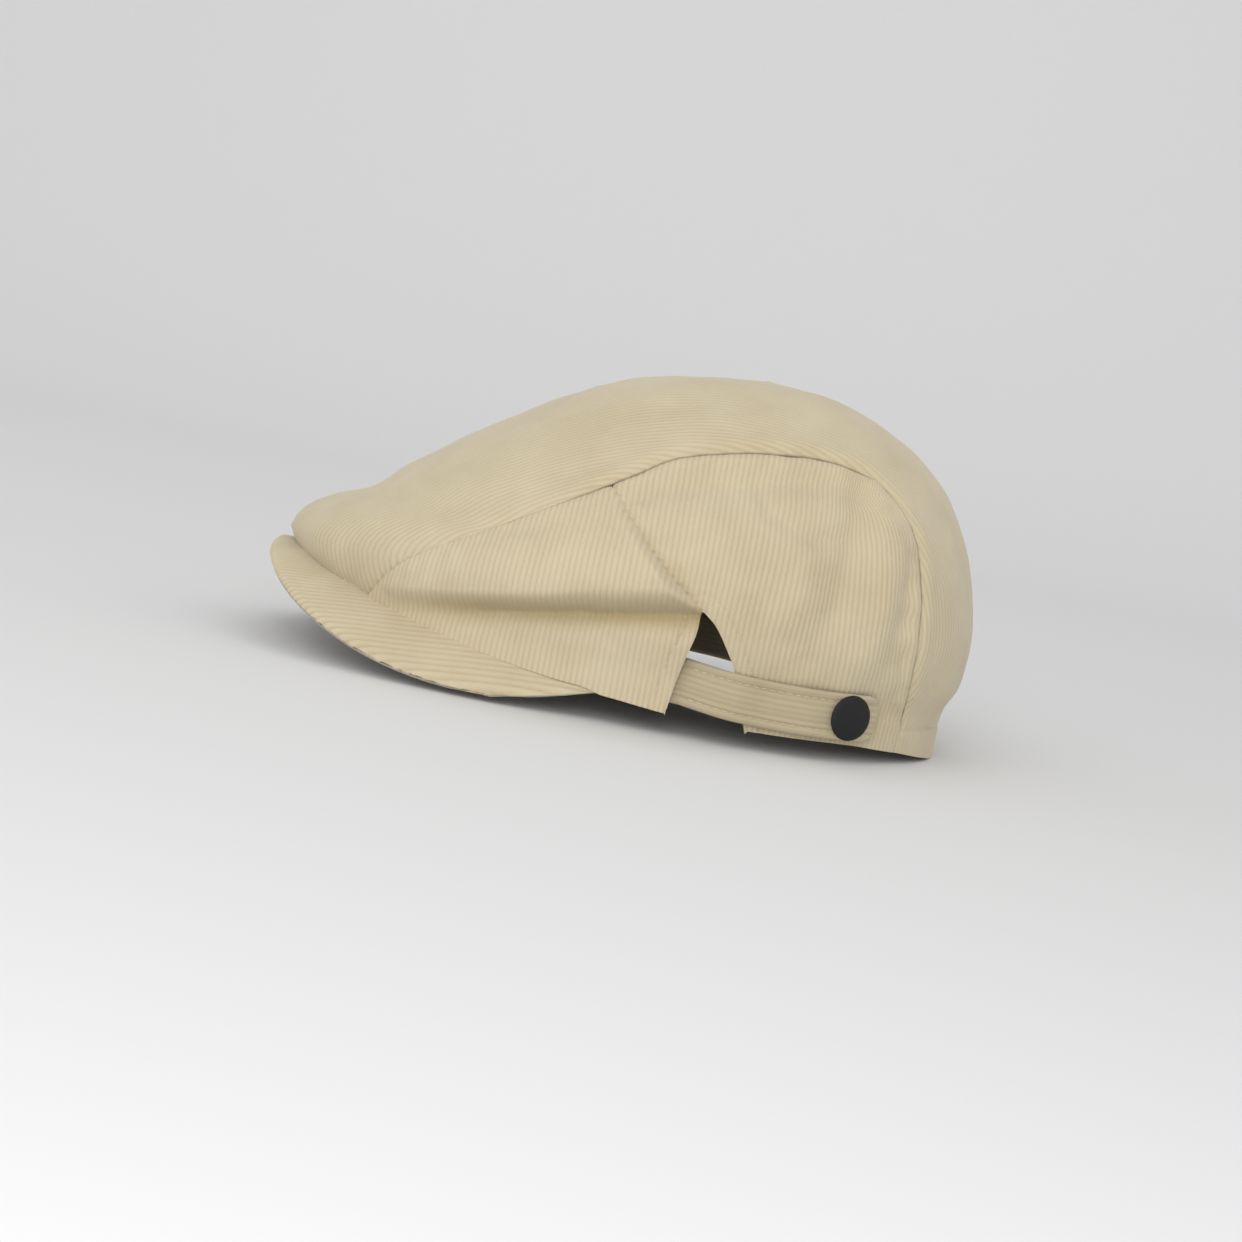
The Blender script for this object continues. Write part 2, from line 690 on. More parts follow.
def band(name, material, body_nodes, inset, side_ease, thickness, forward, low_at, height, edge_y,
         ribs=0.0, seams=()):
    """Strip of cloth that follows the head oval; edge_y gives where it ends at each height."""
    outer_oval = Oval(inset, side_ease, forward)
    inner_oval = Oval(inset + thickness, side_ease, forward)
    spacing = wale_pitch / samples_per_wale if ribs else band_spacing
    stations = int(outer_oval.length / spacing)
    rows = np.concatenate([[0.0, 0.35, 0.9], np.linspace(1.6, height - 1.6, max(6, int(height / 1.3))),
                           [height - 0.9, height - 0.35, height]])
    half = 0.5 * thickness
    pinch = half * (1 - np.sqrt(np.clip(np.minimum(rows, height - rows) / half, 0, 1)))
    unevenness = waves(31, 8, 18, 50)

    def section(i):
        sides = []
        for oval, sign in ((outer_oval, -1), (inner_oval, 1)):
            first = oval.arc_at_y(edge_y(rows))
            arc = first + i / stations * (oval.length - 2 * first)
            x, y = oval.at(arc)
            spot = np.stack([x, y, low_at(x, y) + rows], -1)
            facing_in = unit(np.stack([-x / head_half_width ** 2, -y / head_half_length ** 2, 0 * x], -1))
            off = -sign * pinch + 0.12 * unevenness(spot)
            if sign > 0:
                off = off - 0.22 * sum(bump(rows - seam, 0.5) for seam in seams)
                off = off + ribs * (wale_wave(arc / wale_pitch) - 1)
            sides.append(spot + facing_in * off[:, None])
        return np.concatenate([sides[0], sides[1][::-1]])

    count = 2 * len(rows)
    points, faces = sweep(stations + 1, count, section)
    if not forward:
        faces = [face[::-1] for face in faces]
    across = np.concatenate([rows, rows[::-1]])
    cloth = np.concatenate([np.stack([np.full(count, i * spacing / wale_pitch), across], -1)
                            for i in range(stations + 1)])
    tidy_mesh(make_piece(name, points, faces, "crown", material, cloth, False, body_nodes))


def band_low(x, y):
    """Lower edge of the band: just above the rim, and along the brim's underside in front."""
    on_brim = brim_under_z(x, y) + 0.3
    return rim_at(y) + 0.5 + fade(brim_end_y + 8 - y, 20.0) * (on_brim - rim_at(y) - 0.5)


def opening_edge(path, ease):
    """Where a band ends beside a side opening, at each height."""
    return lambda rows: np.interp(rows + 3, path[::-1, 1], path[::-1, 0]) + ease


brim_edge_radius = 0.5 * brim_thickness
brim_stitch_rows = 5
brim_stitch_inset = 6.0
brim_stitch_step = 8.0
brim_edge_span = 3.0
brim_row_span = 60.0
brim_hole_width = head_half_width - 5.6
brim_hole_length = head_half_length - 4.0
brim_taper_y = -66.0
brim_taper = 5.6
brim_taper_power = 1.6
brim_front_half = brim_reach + brim_widest_y
brim_full_x = brim_half_width * (1 - ((brim_widest_y - brim_taper_y) / brim_front_half)
                                 ** brim_fullness) ** (1 / brim_fullness)


def brim_outline():
    """Plan of the brim's edge, dense, from the left end round the front to the right end."""
    turn = np.linspace(0, math.pi / 2, 700)
    x = brim_half_width * np.sin(turn) ** (2 / brim_fullness)
    y = brim_widest_y - brim_front_half * np.cos(turn) ** (2 / brim_fullness)
    x, y = x[y < brim_taper_y], y[y < brim_taper_y]
    share = np.linspace(0, 1, 90)
    x = np.concatenate([x, brim_full_x - brim_taper * share ** brim_taper_power])
    y = np.concatenate([y, brim_taper_y + share * (brim_end_y - brim_taper_y)])
    half = np.stack([x, y, 0 * x], -1)
    return np.vstack([half[::-1], (half * (-1, 1, 1))[1:]])


def brim_columns(spacing):
    """Columns across the brim, with the front and back end of each."""
    x = np.append(np.arange(int(brim_full_x / spacing)) * spacing, brim_full_x - 0.02)
    share = np.clip(x / brim_half_width, 0, 1)
    front = brim_widest_y - brim_front_half * (1 - share ** brim_fullness) ** (1 / brim_fullness)
    back = -brim_hole_length * np.sqrt(np.clip(1 - (x / brim_hole_width) ** 2, 0, 1))
    left = np.clip((brim_full_x - x) / brim_taper, 0, 1)
    tapered = brim_taper_y + (brim_end_y - brim_taper_y) * left ** (1 / brim_taper_power)
    back = np.where(x > brim_full_x - brim_taper, tapered, np.minimum(back, brim_end_y))
    front = np.minimum(front, back - 0.05)
    return (np.concatenate([-x[:0:-1], x]),
            *(np.concatenate([line[:0:-1], line]) for line in (front, back)))


def brim_frame(x, y, outline):
    """Distance to the brim's edge, and the plan direction towards it."""
    index, gap = nearest(np.stack([x, y, 0 * x], -1), outline)
    tangent = np.gradient(outline, axis=0)[index]
    out = unit(np.stack([-tangent[..., 1], tangent[..., 0], 0 * gap], -1))
    away = outline[index] - (0, brim_widest_y, 0)
    return gap, out * np.sign((away * out).sum(-1))[..., None]


def brim_cover(name, material, nodes, top):
    """Half of the brim's skin: the corduroy top with its turned edge, or the plain underside."""
    columns, front, back = brim_columns(wale_pitch / samples_per_wale if top else 1.2)
    run = np.concatenate([[0.0, 0.05, 0.16, 0.34, 0.6, 0.95, 1.4, 2.0],
                          np.linspace(brim_edge_span, brim_row_span, 44)])[None]
    depth = (back - front)[:, None]
    edge = brim_edge_span * np.clip(depth / brim_row_span, 0.02, 1.0)
    y = front[:, None] + np.where(run < brim_edge_span, run / brim_edge_span * edge,
                                  edge + (run - brim_edge_span) / (brim_row_span - brim_edge_span)
                                  * (depth - edge))
    x = np.repeat(columns[:, None], y.shape[1], 1)
    gap, out = brim_frame(x, y, brim_outline())
    inset = 0.0 if top else 0.18
    swell = np.sqrt(np.clip(1 - (1 - np.clip((gap - inset) / brim_edge_radius, 0, 1)) ** 2, 0, 1))
    middle_z = brim_under_z(x, y) + brim_edge_radius
    sign = 1 if top else -1
    thin = 1 - 0.35 * fade(y + 60, 30.0) * fade(np.abs(x) - 64, 14.0)
    normal = unit(out * (1 - swell)[..., None] + np.array([0, 0, sign]) * swell[..., None])
    outer = np.stack([x, y, middle_z + sign * (brim_edge_radius - inset) * swell * thin], -1)
    relief = 0.18 * waves(41 if top else 43, 9, 25, 60)(outer) * fade(gap, 6.0)
    if top:
        strength = 0.22 + 1.9 * (1 - fade(gap - 0.4, 2.8))
        relief = relief + wale_height * strength * (wale_wave(x / wale_pitch) - 0.6)
    else:
        for row in range(brim_stitch_rows):
            relief = relief - 0.35 * bump(gap - brim_stitch_inset - brim_stitch_step * row, 1.0)
    inner = np.stack([x, y, middle_z + (0.62 if top else -1.12) * fade(gap - 2.5, 1.2)], -1)
    skin_piece(name, outer + normal * relief[..., None], inner, samples_per_wale // 2 if top else 1,
               np.stack([x / wale_pitch, y], -1), material, False, nodes, flip=top)


def brim_stitching():
    """Rows of stitches under the brim, in line with its edge."""
    edge = brim_outline()
    edge = edge[np.linspace(0, len(edge) - 1, 900).astype(int)]
    run = unit(np.gradient(edge, axis=0))
    inward = np.stack([run[:, 1], -run[:, 0], 0 * run[:, 0]], -1)
    for row in range(brim_stitch_rows):
        line = edge + (brim_stitch_inset + brim_stitch_step * row) * inward
        hole = (line[:, 0] / brim_hole_width) ** 2 + (line[:, 1] / brim_hole_length) ** 2
        line = line[(hole > 1.04) & (line[:, 1] < brim_end_y - 6)]
        line[:, 2] = brim_under_z(line[:, 0], line[:, 1]) + 0.3
        down = np.tile((0.0, 0.0, -1.0), (len(line), 1))
        stitches(f"brim_stitches_{row + 1}", line, down, "crown", False)


lining_depth = 4.6
lining_thickness = 0.7


def lining_shell(name, base, node, mirror, relief):
    """Lining that hangs inside the crown and gives way where the shell folds inwards."""
    normal = crown_normal(base)
    depth = lining_depth - np.minimum(relief, 0) + 0.5 * waves(53, 10, 14, 45)(base) + 0.5
    outer, inner = (base - normal * deep[..., None] for deep in (depth, depth + lining_thickness))
    skin_piece(name, outer, inner, 1, np.stack([base[..., 1] / wale_pitch, base[..., 2]], -1),
               lining_cloth, mirror, (node,))


def lining_side_grid():
    label = np.append(np.arange(side_points([(-0.70, 0)])[0, 0], rear_label, 1.6), rear_label)
    rim = rim_at(label) + fade(brim_end_y - label, 8.0) * (brim_line_z(label) - rim_at(label))
    low = rim + hem_height
    # the lining is cut away behind the side opening
    notch_off = np.abs(label - 6.0)
    notch = 55.0 - 30.0 * fade(notch_off - 14.0, 14.0)
    low = np.where(notch_off < 28.0, np.maximum(low, notch), low)
    high = np.maximum(leaning_top(label, 22), low + 0.5)
    z = between(low, high, np.linspace(0, 1, 56))
    return leaning_y(label[:, None], z), z


def lining_side_relief(base, y, z):
    """The lining follows the front panel's fold and lies plain behind it."""
    front_share = fade(np.where(y < 4, 1.0, 0.0) * (75.0 - y - z), 30.0)
    return front_share * side_relief(base, y, z, soft_left, fine_left, True) - 1.0


def lining_pieces():
    y, z = lining_side_grid()
    base = np.stack([crown_side_x(y, z), y, z], -1)
    relief = lining_side_relief(base, y, z)
    for side, mirror in both_sides:
        lining_shell(f"lining_side_{side}", base, f"lining_side_panel_{side}", mirror, relief)
    points = top_panel_grid()[0][::samples_per_wale, 4:-4:2]
    lining_shell("lining_top", points, "lining_top_panel", False, -0.8 * (points[..., 2] > hem_height))


# == Straps, snaps and stitches ==

sewn_low, sewn_high = box_mm("strap_sewn_end_left")
stud_low, stud_high = box_mm("snap_stud_left")
snap_middle = (snap_low + snap_high) / 2
snap_y = (stud_low[1] + stud_high[1]) / 2
strap_middle_z = snap_middle[2]
strap_half = strap_width / 2
strap_seat = 3.4
strap_wall_gap = 0.9
strap_end_radius = 6.0
strap_end_y = snap_y + 8.5
strap_cross_y = 18.0
strap_stitch_inset = 3.0
snap_cap_radius = 8.3
snap_cap_y = snap_y - 1.6
snap_cap_lift = 1.2
# share of the radius and height, from the dome's middle round the rolled rim to the back
snap_cap_profile = [(0.0, 2.15), (0.25, 2.12), (0.5, 2.0), (0.72, 1.78), (0.86, 1.52), (0.94, 1.26),
                    (0.985, 0.95), (1.0, 0.62), (0.985, 0.3), (0.94, 0.08), (0.88, 0.0), (0.6, 0.0),
                    (0.2, 0.0)]
stitch_length = 2.3
stitch_gap = 0.9
stitch_radius = 0.2
stitch_rings, stitch_sides = 5, 6


def wall_point(y, gap):
    """Plan point at a gap outside the rear panel's lower wall."""
    x = head_half_width * math.sqrt(1 - (y / head_half_length) ** 2)
    return np.array([x, y]) + gap * unit(np.array([x / head_half_width ** 2, y / head_half_length ** 2]))


def strap_centre_line():
    """Plan of the strap's middle: straight at its sewn root, across the opening, out to the snap."""
    lift = strap_thickness / 2
    root_x = (sewn_low[0] + sewn_high[0]) / 2
    crossing = wall_point(strap_cross_y, 0)[0] + strap_wall_gap + lift
    half_gap = (strap_seat + strap_wall_gap) / 2
    return rounded_path([(root_x, sewn_low[1]), (root_x, -6.0), (root_x, 1.2), (crossing, strap_cross_y),
                         wall_point(snap_y / 2, strap_wall_gap + lift),
                         wall_point(snap_y * 0.75, half_gap + lift), wall_point(snap_y, strap_seat + lift),
                         wall_point(strap_end_y, strap_seat + 0.3 + lift)], 420)


def strap_sag(y):
    """The strap hangs a little between its ends."""
    share = np.clip((y - sewn_high[1]) / (snap_y - sewn_high[1]), 0, 1)
    return 1.2 - 0.7 * np.sin(math.pi * share) + 2.6 * (1 - share) ** 1.3


def strap_surface():
    """Stations of the strap: places, outward directions and lengths from the root."""
    plan = strap_centre_line()
    arc = arc_along(plan)
    tip = np.sin(np.linspace(0, math.pi / 2, 22))
    stops = np.append(np.arange(0, arc[-1] - 6.2, 0.55), arc[-1] - strap_end_radius * (1 - tip))
    x, y = np.interp(stops, arc, plan[:, 0]), np.interp(stops, arc, plan[:, 1])
    run = unit(np.stack([np.gradient(x, stops), np.gradient(y, stops)], -1))
    out = np.stack([run[:, 1], -run[:, 0], 0 * x], -1)
    return np.stack([x, y, strap_middle_z + strap_sag(y)], -1), out, stops


def strap(side, mirror, material):
    """Strip with lengthwise wales, a stitched edge and a rounded end; it bends at its sewn root."""
    place, out, stops = strap_surface()
    half = strap_thickness / 2
    face_u = np.linspace(-strap_half, strap_half, int(strap_width / wale_pitch * samples_per_wale) + 1)
    rim_u = strap_half - np.array([0.0, 0.06, 0.2, 0.45, 0.8])
    face_u = np.unique(np.round(np.concatenate([face_u, rim_u, -rim_u]), 4))
    back_u = np.linspace(strap_half, -strap_half, 14)
    unevenness = waves(61 if mirror else 63, 8, 10, 30)
    stitch_u = strap_half - strap_stitch_inset

    def section(i):
        left = stops[-1] - stops[i]
        cut = max(0.0, strap_end_radius - left)
        width = strap_half - strap_end_radius + math.sqrt(max(strap_end_radius ** 2 - cut ** 2, 0.0))
        tip = math.sqrt(min(max(left / half, 0.0), 1.0))
        rows = []
        for plain_u, sign in ((face_u, 1), (back_u, -1)):
            u = np.clip(plain_u, -width, width)
            near_edge = np.clip((width - np.abs(u)) / half, 0, 1)
            swell = half * np.sqrt(1 - (1 - near_edge) ** 2) * tip
            spot = place[i] + np.array([0, 0, 1]) * u[:, None]
            relief = 0.22 * unevenness(spot) * tip
            if sign > 0:
                wale = (0.10 * (wale_wave(plain_u / wale_pitch) - 0.6)
                        * fade(strap_half - np.abs(plain_u), 1.5))
                relief = relief + (wale + 0.40 * bump(np.abs(u) - (strap_half - 1.2), 1.1)
                                   - 0.50 * bump(np.abs(u) - stitch_u, 0.6)
                                   - 0.25 * bump(np.abs(u) - stitch_u + 2.2, 1.2)) * tip
            rows.append(spot + out[i] * (sign * swell + relief * sign)[:, None])
        return np.concatenate(rows)

    points, faces = sweep(len(stops), len(face_u) + len(back_u), section)
    faces = [face[::-1] for face in faces]
    wale_u = np.concatenate([face_u, back_u]) / wale_pitch
    cloth = np.concatenate([np.stack([wale_u, 0 * wale_u + stop], -1) for stop in stops])
    piece = make_piece(f"strap_cloth_{side}", points, faces, None, material, cloth, mirror,
                       (f"strap_{side}", f"strap_sewn_end_{side}"))
    tidy_mesh(piece)
    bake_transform(piece)


def snap_cap(side, mirror):
    """Low domed cap with a rolled rim, pressed into the strap."""
    around = 72
    plan = wall_point(snap_cap_y, strap_seat + strap_thickness - 0.15)
    outward = np.append(wall_point(snap_cap_y, 1.0) - wall_point(snap_cap_y, 0.0), 0.0)
    centre = np.array([plan[0], plan[1], strap_middle_z + snap_cap_lift])
    level, up = np.array([-outward[1], outward[0], 0.0]), np.array([0.0, 0.0, 1.0])
    turns = np.arange(around) * 2 * math.pi / around
    points = [centre + outward * snap_cap_profile[0][1]]
    for share, height in snap_cap_profile[1:]:
        ring = share * snap_cap_radius
        points += [centre + outward * height + ring * (math.cos(t) * level + math.sin(t) * up) for t in turns]
    faces = [(0, 1 + j, 1 + (j + 1) % around) for j in range(around)]
    last = 1 + (len(snap_cap_profile) - 2) * around
    for a in range(1, last, around):
        b = a + around
        faces += [(a + j, b + j, b + (j + 1) % around, a + (j + 1) % around) for j in range(around)]
    faces.append(tuple(last + j for j in reversed(range(around))))
    make_piece(f"snap_cap_dome_{side}", points, faces, f"{side}_strap", lacquer,
               np.zeros((len(points), 2)), mirror, (f"snap_cap_{side}",))


def stitches(name, spots, normals, body, mirror):
    """Row of thread stitches along a dense path on a surface."""
    arc = arc_along(spots)
    points, faces = [], []
    turns = np.arange(stitch_sides) * 2 * math.pi / stitch_sides

    def along(values, at):
        return np.array([np.interp(at, arc, values[:, axis]) for axis in range(3)])

    for k in range(int(arc[-1] / (stitch_length + stitch_gap))):
        def ring(i):
            share = i / (stitch_rings - 1)
            at = k * (stitch_length + stitch_gap) + share * stitch_length
            spot, up = along(spots, at), along(normals, at)
            run = along(spots, at + 0.2) - spot
            run /= max(np.linalg.norm(run), 1e-9)
            across = np.cross(up, run)
            swell = math.sin(math.pi * share)
            thick = stitch_radius * (0.35 + 0.65 * swell)
            centre = spot + up * (0.22 * swell - 0.10)
            return [centre + thick * (math.cos(t) * across + math.sin(t) * up) for t in turns]

        tube, tube_faces = sweep(stitch_rings, stitch_sides, ring)
        faces += [tuple(len(points) + corner for corner in face[::-1]) for face in tube_faces]
        points += list(tube)
    make_piece(name, points, faces, body, thread, np.zeros((len(points), 2)), mirror)


def on_skin(path, skin):
    """Lays a path on a built skin of points and normals."""
    points, normals = skin
    found = nearest(path, points)[0]
    up = normals[found]
    lift = ((points[found] - path) * up).sum(1)
    smooth = np.convolve(np.pad(lift, 6, mode="edge"), np.ones(13) / 13, "valid")
    return path + up * smooth[:, None], up


def offset_path(path, inset):
    """Side-view path moved sideways by inset."""
    run = unit(np.gradient(path, axis=0))
    return path + inset * np.stack([-run[:, 1], run[:, 0]], -1)


# == Shader sums ==


class Shade:
    """A socket of a finish; sums on it add Math nodes."""

    def __init__(self, finish, socket):
        self.finish = finish
        self.socket = socket

    def math(self, operation, first, second):
        return self.finish.node("ShaderNodeMath", {"operation": operation}, {0: first, 1: second})

    def __add__(self, other):
        return self.math("ADD", self, other)

    def __sub__(self, other):
        return self.math("SUBTRACT", self, other)

    def __mul__(self, other):
        return self.math("MULTIPLY", self, other)

    def __rsub__(self, other):
        return self.math("SUBTRACT", other, self)

    __radd__ = __add__
    __rmul__ = __mul__


class Finish:
    """A material and its nodes."""

    def __init__(self, name):
        self.material = bpy.data.materials.new(name)
        self.material.use_nodes = True
        self.tree = self.material.node_tree
        self.tree.nodes.clear()

    def node(self, kind, settings=None, sockets=None, output=0):
        made = self.tree.nodes.new(kind)
        for key, value in (settings or {}).items():
            setattr(made, key, value)
        for key, value in (sockets or {}).items():
            if isinstance(value, Shade):
                self.tree.links.new(value.socket, made.inputs[key])
            else:
                made.inputs[key].default_value = value
        return None if output is None else Shade(self, made.outputs[output])

    def place(self):
        return self.node("ShaderNodeTexCoord", output=3)

    def maths(self, operation, value):
        return self.node("ShaderNodeMath", {"operation": operation}, {0: value})

    def split(self, vector):
        """The three parts of a vector."""
        first = self.node("ShaderNodeSeparateXYZ", sockets={0: vector})
        return [Shade(self, output) for output in first.socket.node.outputs]

    def wales(self):
        """Wales counted across the cloth."""
        return self.split(self.node("ShaderNodeUVMap", {"uv_map": "cloth"}))[0]

    def span(self, value, low, high, first, last):
        """Smooth step of a value from first at low to last at high."""
        return self.node("ShaderNodeMapRange", {"interpolation_type": "SMOOTHSTEP"},
                         {0: value, 1: low, 2: high, 3: first, 4: last})

    def noise(self, place, scale, detail=3.0, rough=0.55):
        return self.node("ShaderNodeTexNoise", sockets={"Vector": place, "Scale": scale, "Detail": detail,
                                                        "Roughness": rough})

    def blend(self, share, first, second):
        return self.node("ShaderNodeMix", {"data_type": "RGBA"}, {0: share, 6: first, 7: second}, 2)

    def bump(self, height, distance, strength=1.0):
        return self.node("ShaderNodeBump", sockets={"Height": height, "Distance": distance,
                                                    "Strength": strength})

    def surface(self, **sockets):
        sockets = {key.replace("_", " "): value for key, value in sockets.items()}
        shader = self.node("ShaderNodeBsdfPrincipled", sockets=sockets)
        self.node("ShaderNodeOutputMaterial", sockets={"Surface": shader}, output=None)
        return self.material


pressed_slope, pressed_height, pressed_half = 0.17, 0.0440, 0.0085


def corduroy(name, light, shade, pressed=None):
    """Cut-pile cotton: pale ribs, darker valleys, uneven nap and loose fibres, browner where pressed."""
    finish = Finish(name)
    place = finish.place()
    nap = finish.noise(place, 55.0, 4.0)
    broad = finish.noise(place, 14.0, 2.0)
    fibre = finish.noise(place, 1500.0, 2.0)
    lean = finish.noise(place, 240.0, 3.0)
    rib = finish.maths("ABSOLUTE", finish.maths("COSINE", finish.wales() * math.pi))
    tone = rib * 0.24 + nap * 0.34 + broad * 0.26 + fibre * 0.14
    tone = finish.node("ShaderNodeMapRange", sockets={0: tone, 1: 0.25, 2: 0.75, 3: 0.0, 4: 1.0})
    colour = finish.blend(tone, shade, light)
    if pressed:
        # a soft band inside the fold of the front side panel, fading out over the brim
        _, y, z = finish.split(place)
        drift = finish.noise(place, 40.0, 2.0) * 0.006 - 0.003
        off = finish.maths("ABSOLUTE", z - (y * pressed_slope + pressed_height) + drift)
        share = finish.span(off, 0.0, pressed_half, 0.85, 0.0) * finish.span(y, -0.105, -0.07, 0.0, 1.0)
        colour = finish.blend(share, colour, pressed)
    return finish.surface(Base_Color=colour, Roughness=0.92, Sheen_Weight=0.25, Sheen_Roughness=0.5,
                          Specular_IOR_Level=0.12,
                          Normal=finish.bump(fibre * 0.5 + lean * 0.5, 0.00022, 0.9))


def plain_cloth(name, light, shade, thread=0.0006, strength=0.6):
    """Plain weave: crossing threads in rows."""
    finish = Finish(name)
    place = finish.place()
    warp, weft = (finish.node("ShaderNodeTexWave", {"bands_direction": direction},
                              {"Vector": place, "Scale": 0.16 / thread}, output=1) for direction in "YZ")
    height = warp * 0.5 + weft * 0.5
    tone = height * 0.35 + finish.noise(place, 60.0, 4.0) * 0.65
    return finish.surface(Base_Color=finish.blend(tone, shade, light), Roughness=0.85, Sheen_Weight=0.15,
                          Normal=finish.bump(height, thread * 0.25, strength))


def black_lacquer():
    """Matte black lacquer on pressed brass."""
    finish = Finish("black_lacquer")
    place = finish.place()
    grain = finish.noise(place, 900.0, 3.0)
    smudge = finish.noise(place, 120.0, 4.0)
    colour = finish.blend(smudge, (0.010, 0.010, 0.011, 1), (0.018, 0.017, 0.018, 1))
    return finish.surface(Base_Color=colour, Roughness=smudge * 0.15 + 0.5, Specular_IOR_Level=0.22,
                          Normal=finish.bump(grain, 0.00003, 0.5))


def board_plastic():
    """Pale moulded board."""
    finish = Finish("board_plastic")
    grain = finish.noise(finish.place(), 300.0, 3.0)
    colour = finish.blend(grain, (0.62, 0.60, 0.55, 1), (0.74, 0.72, 0.67, 1))
    return finish.surface(Base_Color=colour, Roughness=grain * 0.2 + 0.45,
                          Normal=finish.bump(grain, 0.00005, 0.4))


cream_light = (0.572, 0.500, 0.350, 1)
cream_shade = (0.430, 0.354, 0.220, 1)
cream = corduroy("cream_corduroy", cream_light, cream_shade)
folded_cream = corduroy("cream_corduroy_folded", cream_light, cream_shade, (0.40, 0.315, 0.165, 1))
strap_cream = corduroy("cream_corduroy_strap", (0.455, 0.392, 0.268, 1), (0.350, 0.288, 0.178, 1))
lining_cloth = plain_cloth("grey_lining", (0.44, 0.415, 0.38, 1), (0.32, 0.30, 0.27, 1))
tape_cloth = plain_cloth("grey_tape", (0.34, 0.32, 0.29, 1), (0.24, 0.225, 0.20, 1), 0.0009)
under_cloth = plain_cloth("under_cloth", (0.45, 0.415, 0.36, 1), (0.34, 0.31, 0.265, 1), 0.0008)
lacquer = black_lacquer()
thread = plain_cloth("cream_thread", (0.66, 0.57, 0.42, 1), (0.52, 0.43, 0.29, 1), 0.0004)
plastic = board_plastic()


# == The cap ==

top_skin = top_panel(cream)
front_grid = front_panel_grid()
rear_grid = rear_panel_grid()
strap_places, strap_outs, _ = strap_surface()
stitched = (strap_places[:, 1] > 4) & (strap_places[:, 1] < strap_end_y - 4)
for side, mirror in both_sides:
    front_skin = side_panel(f"front_panel_{side}", front_grid, True, mirror, folded_cream,
                            (f"front_side_panel_{side}",))
    rear_skin = side_panel(f"rear_panel_{side}", rear_grid, False, mirror, cream,
                           (f"rear_side_panel_{side}",))
    strap(side, mirror, strap_cream)
    snap_cap(side, mirror)
    hem_y = np.linspace(opening_rear[-1, 0] + 6, rear_label - 1, 300)
    for row, path, skin in (("opening_rear", offset_path(opening_rear[8:], hem_stitch_inset), rear_skin),
                            ("opening_front", offset_path(opening_front[8:], -hem_stitch_inset), front_skin),
                            ("rear_hem", np.stack([hem_y, rim_at(hem_y) + hem_height], -1), rear_skin)):
        stitches(f"{row}_stitches_{side}", *on_skin(path_on_crown(path), skin), "crown", mirror)
    for row, lift in (("upper", 1), ("lower", -1)):
        path = (strap_places + strap_outs * (strap_thickness / 2 - 0.35)
                + np.array([0, 0, lift * (strap_half - strap_stitch_inset)]))
        stitches(f"strap_stitches_{row}_{side}", path[stitched], strap_outs[stitched], f"{side}_strap",
                 mirror)

brim_cover("brim_top", cream, ("brim_top_cover", "brim_board"), True)
brim_cover("brim_underside", under_cloth, ("brim_under_cover",), False)
brim_stitching()
lining_pieces()

seam_tail = path_on_crown(top_seam)[650:][::-1]
tail_half = np.interp(hem_height + 1, seam_tail[:, 2], seam_tail[:, 0])
tail_x = np.linspace(-tail_half + 1, tail_half - 1, 260)
tail_y = rear_at(hem_height) * np.sqrt(1 - (tail_x / width_at(hem_height)) ** 2)
tail = np.stack([tail_x, tail_y, rim_at(tail_y) + hem_height], -1)
stitches("rear_hem_stitches_middle", *on_skin(tail, top_skin), "crown", False)

for end, opening, ease in (("front", opening_front, -1.0), ("rear", opening_rear, 1.0)):
    band(f"sweatband_{end}_tape", tape_cloth, (f"sweatband_{end}",), 4.0, 1.6, 1.2,
         end == "front", band_low, 30.0, opening_edge(opening, ease), seams=(1.8, 27.5))
band("hem_facing", cream, ("rear_hem_facing",), 1.9, 0.0, 1.7, False,
     lambda x, y: rim_at(y) + 0.3, 12.2, opening_edge(opening_rear, 1.5), ribs=0.25, seams=(10.5,))

node_materials = (("snap", lacquer), ("lining", lining_cloth), ("sweatband", tape_cloth),
                  ("brim_under_cover", under_cloth), ("brim_board", plastic), ("", cream))
for node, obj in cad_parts.items():
    material = next(made for start, made in node_materials if node.startswith(start))
    for held in obj.material_slots:
        held.material = material

# == Floor, light and camera ==

backdrop_x = -0.9
backdrop_radius = 0.9


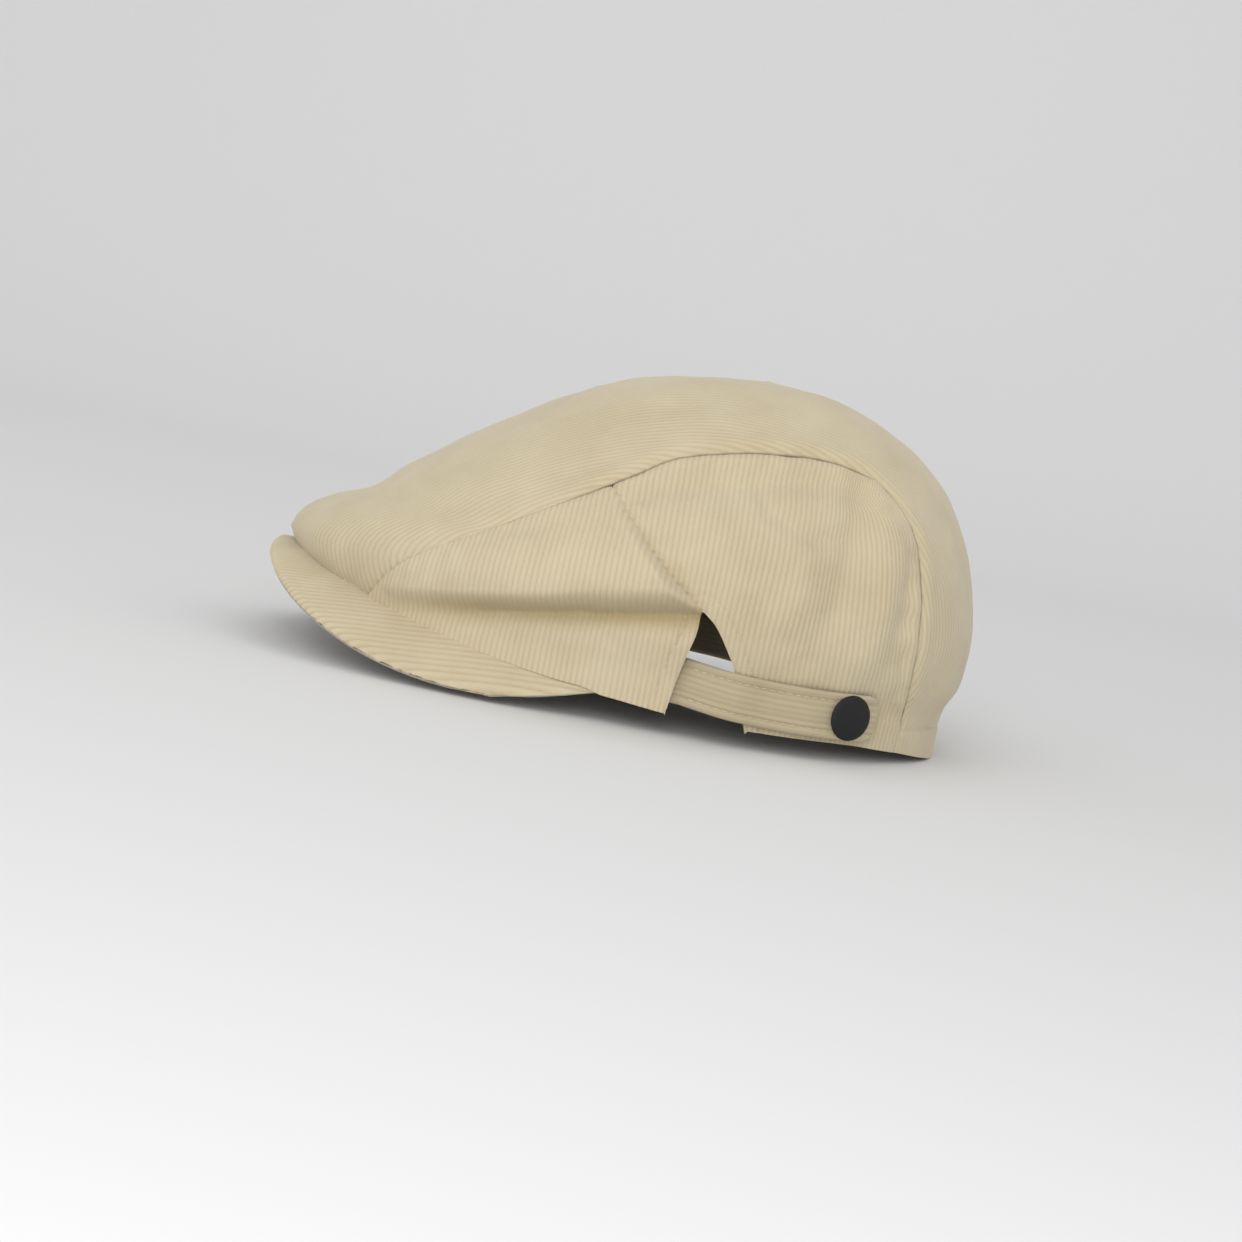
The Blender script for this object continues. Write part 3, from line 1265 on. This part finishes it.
def floor_sheet():
    """Pale sheet that lies under the cap and curves up behind it."""
    profile = [(2.5, 0.0), (backdrop_x, 0.0)]
    profile += [(backdrop_x - backdrop_radius * math.sin(turn), backdrop_radius * (1 - math.cos(turn)))
                for turn in np.linspace(0.1, math.pi / 2, 12)]
    profile += [(backdrop_x - backdrop_radius, 3.5)]
    points = [(x, y, z) for x, z in profile for y in (-3.0, 3.0)]
    faces = [(2 * k, 2 * k + 1, 2 * k + 3, 2 * k + 2) for k in range(len(profile) - 1)]
    mesh = bpy.data.meshes.new("floor")
    mesh.from_pydata(points, [], faces)
    mesh.polygons.foreach_set("use_smooth", np.ones(len(faces), bool))
    mesh.materials.append(Finish("pale_floor").surface(Base_Color=(0.70, 0.70, 0.70, 1), Roughness=0.9,
                                                       Specular_IOR_Level=0.1))
    sheet = bpy.data.objects.new("floor", mesh)
    bpy.context.scene.collection.objects.link(sheet)


def area_light(name, place, aim, size, power):
    data = bpy.data.lights.new(name, "AREA")
    data.size = size
    data.energy = power
    lamp = bpy.data.objects.new(name, data)
    lamp.location = place
    direction = mathutils.Vector(aim) - mathutils.Vector(place)
    lamp.rotation_euler = direction.to_track_quat("-Z", "Y").to_euler()
    bpy.context.scene.collection.objects.link(lamp)


view_elevation = math.radians(6.5)
view_roll = math.radians(10.9)
view_distance = 1.05
view_centre = mathutils.Vector((-0.0031, -0.0242, 0.0269))
image_side = 1242
image_steps_per_mm = 2.6
sensor_width = 36.0


def camera():
    """Almost level with the rim from the wearer's left, tipped so that the rear sits lower."""
    forward = mathutils.Vector((-math.cos(view_elevation), 0, -math.sin(view_elevation)))
    level = mathutils.Vector((0, 1, 0))
    upright = mathutils.Vector((-math.sin(view_elevation), 0, math.cos(view_elevation)))
    right = math.cos(view_roll) * level + math.sin(view_roll) * upright
    up = -math.sin(view_roll) * level + math.cos(view_roll) * upright
    data = bpy.data.cameras.new("camera")
    data.sensor_width = sensor_width
    data.lens = sensor_width * image_steps_per_mm / MM * view_distance / image_side
    data.clip_end = 20.0
    view = bpy.data.objects.new("camera", data)
    matrix = mathutils.Matrix((right, up, -forward)).transposed().to_4x4()
    matrix.translation = view_centre - forward * view_distance
    view.matrix_world = matrix
    bpy.context.scene.collection.objects.link(view)
    bpy.context.scene.camera = view


floor_sheet()
area_light("key", (1.3, -0.6, 1.15), (0, 0, 0.05), 1.2, 6.5)
area_light("fill", (1.25, -0.05, 0.30), (0, 0, 0.05), 0.5, 5.2)
area_light("back", (-0.7, 0.1, 1.9), (-1.8, 0, 0.6), 1.2, 4.5)
world = bpy.data.worlds.new("soft_room")
world.use_nodes = True
sky = world.node_tree.nodes["Background"]
sky.inputs["Color"].default_value = (1, 1, 1, 1)
sky.inputs["Strength"].default_value = 0.77
bpy.context.scene.world = world
bpy.context.scene.view_settings.view_transform = "Standard"
camera()
